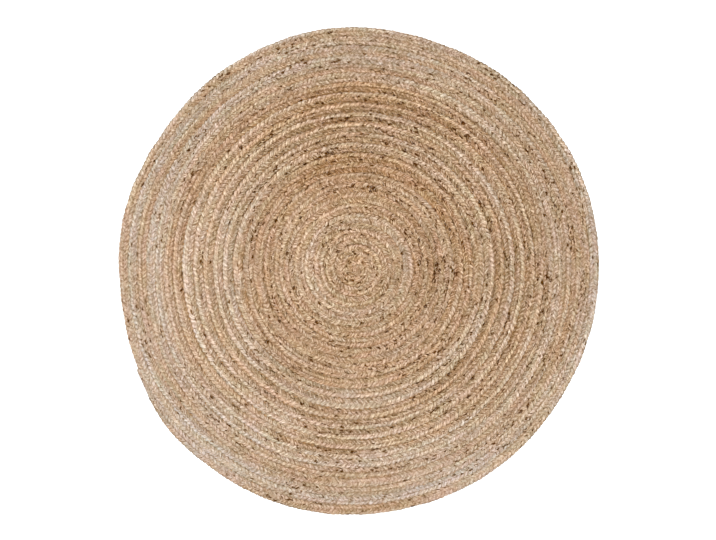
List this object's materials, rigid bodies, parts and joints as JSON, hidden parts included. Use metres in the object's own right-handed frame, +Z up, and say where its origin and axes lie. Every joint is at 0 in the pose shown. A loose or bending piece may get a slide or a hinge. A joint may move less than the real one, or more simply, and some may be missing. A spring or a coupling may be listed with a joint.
{
  "type": "round jute rug",
  "caption": "Flat round rug of undyed jute: a long flat braid coiled from the middle outwards and sewn row to row, its outer end tapered against the rim.",
  "frame": {"origin": "middle of the rug's box, at the level of its underside", "axes": "+Z up through the rug's thickness; +Y is the top of the picture and +X its right"},
  "size_m": [1.186, 1.205, 0.012],
  "materials": {
    "jute": "dry undyed jute yarn, matt, tan with paler, golden and brown stretches and dark flecks"
  },
  "bodies": {
    "root": {"rug": "jute"}
  },
  "joints": []
}
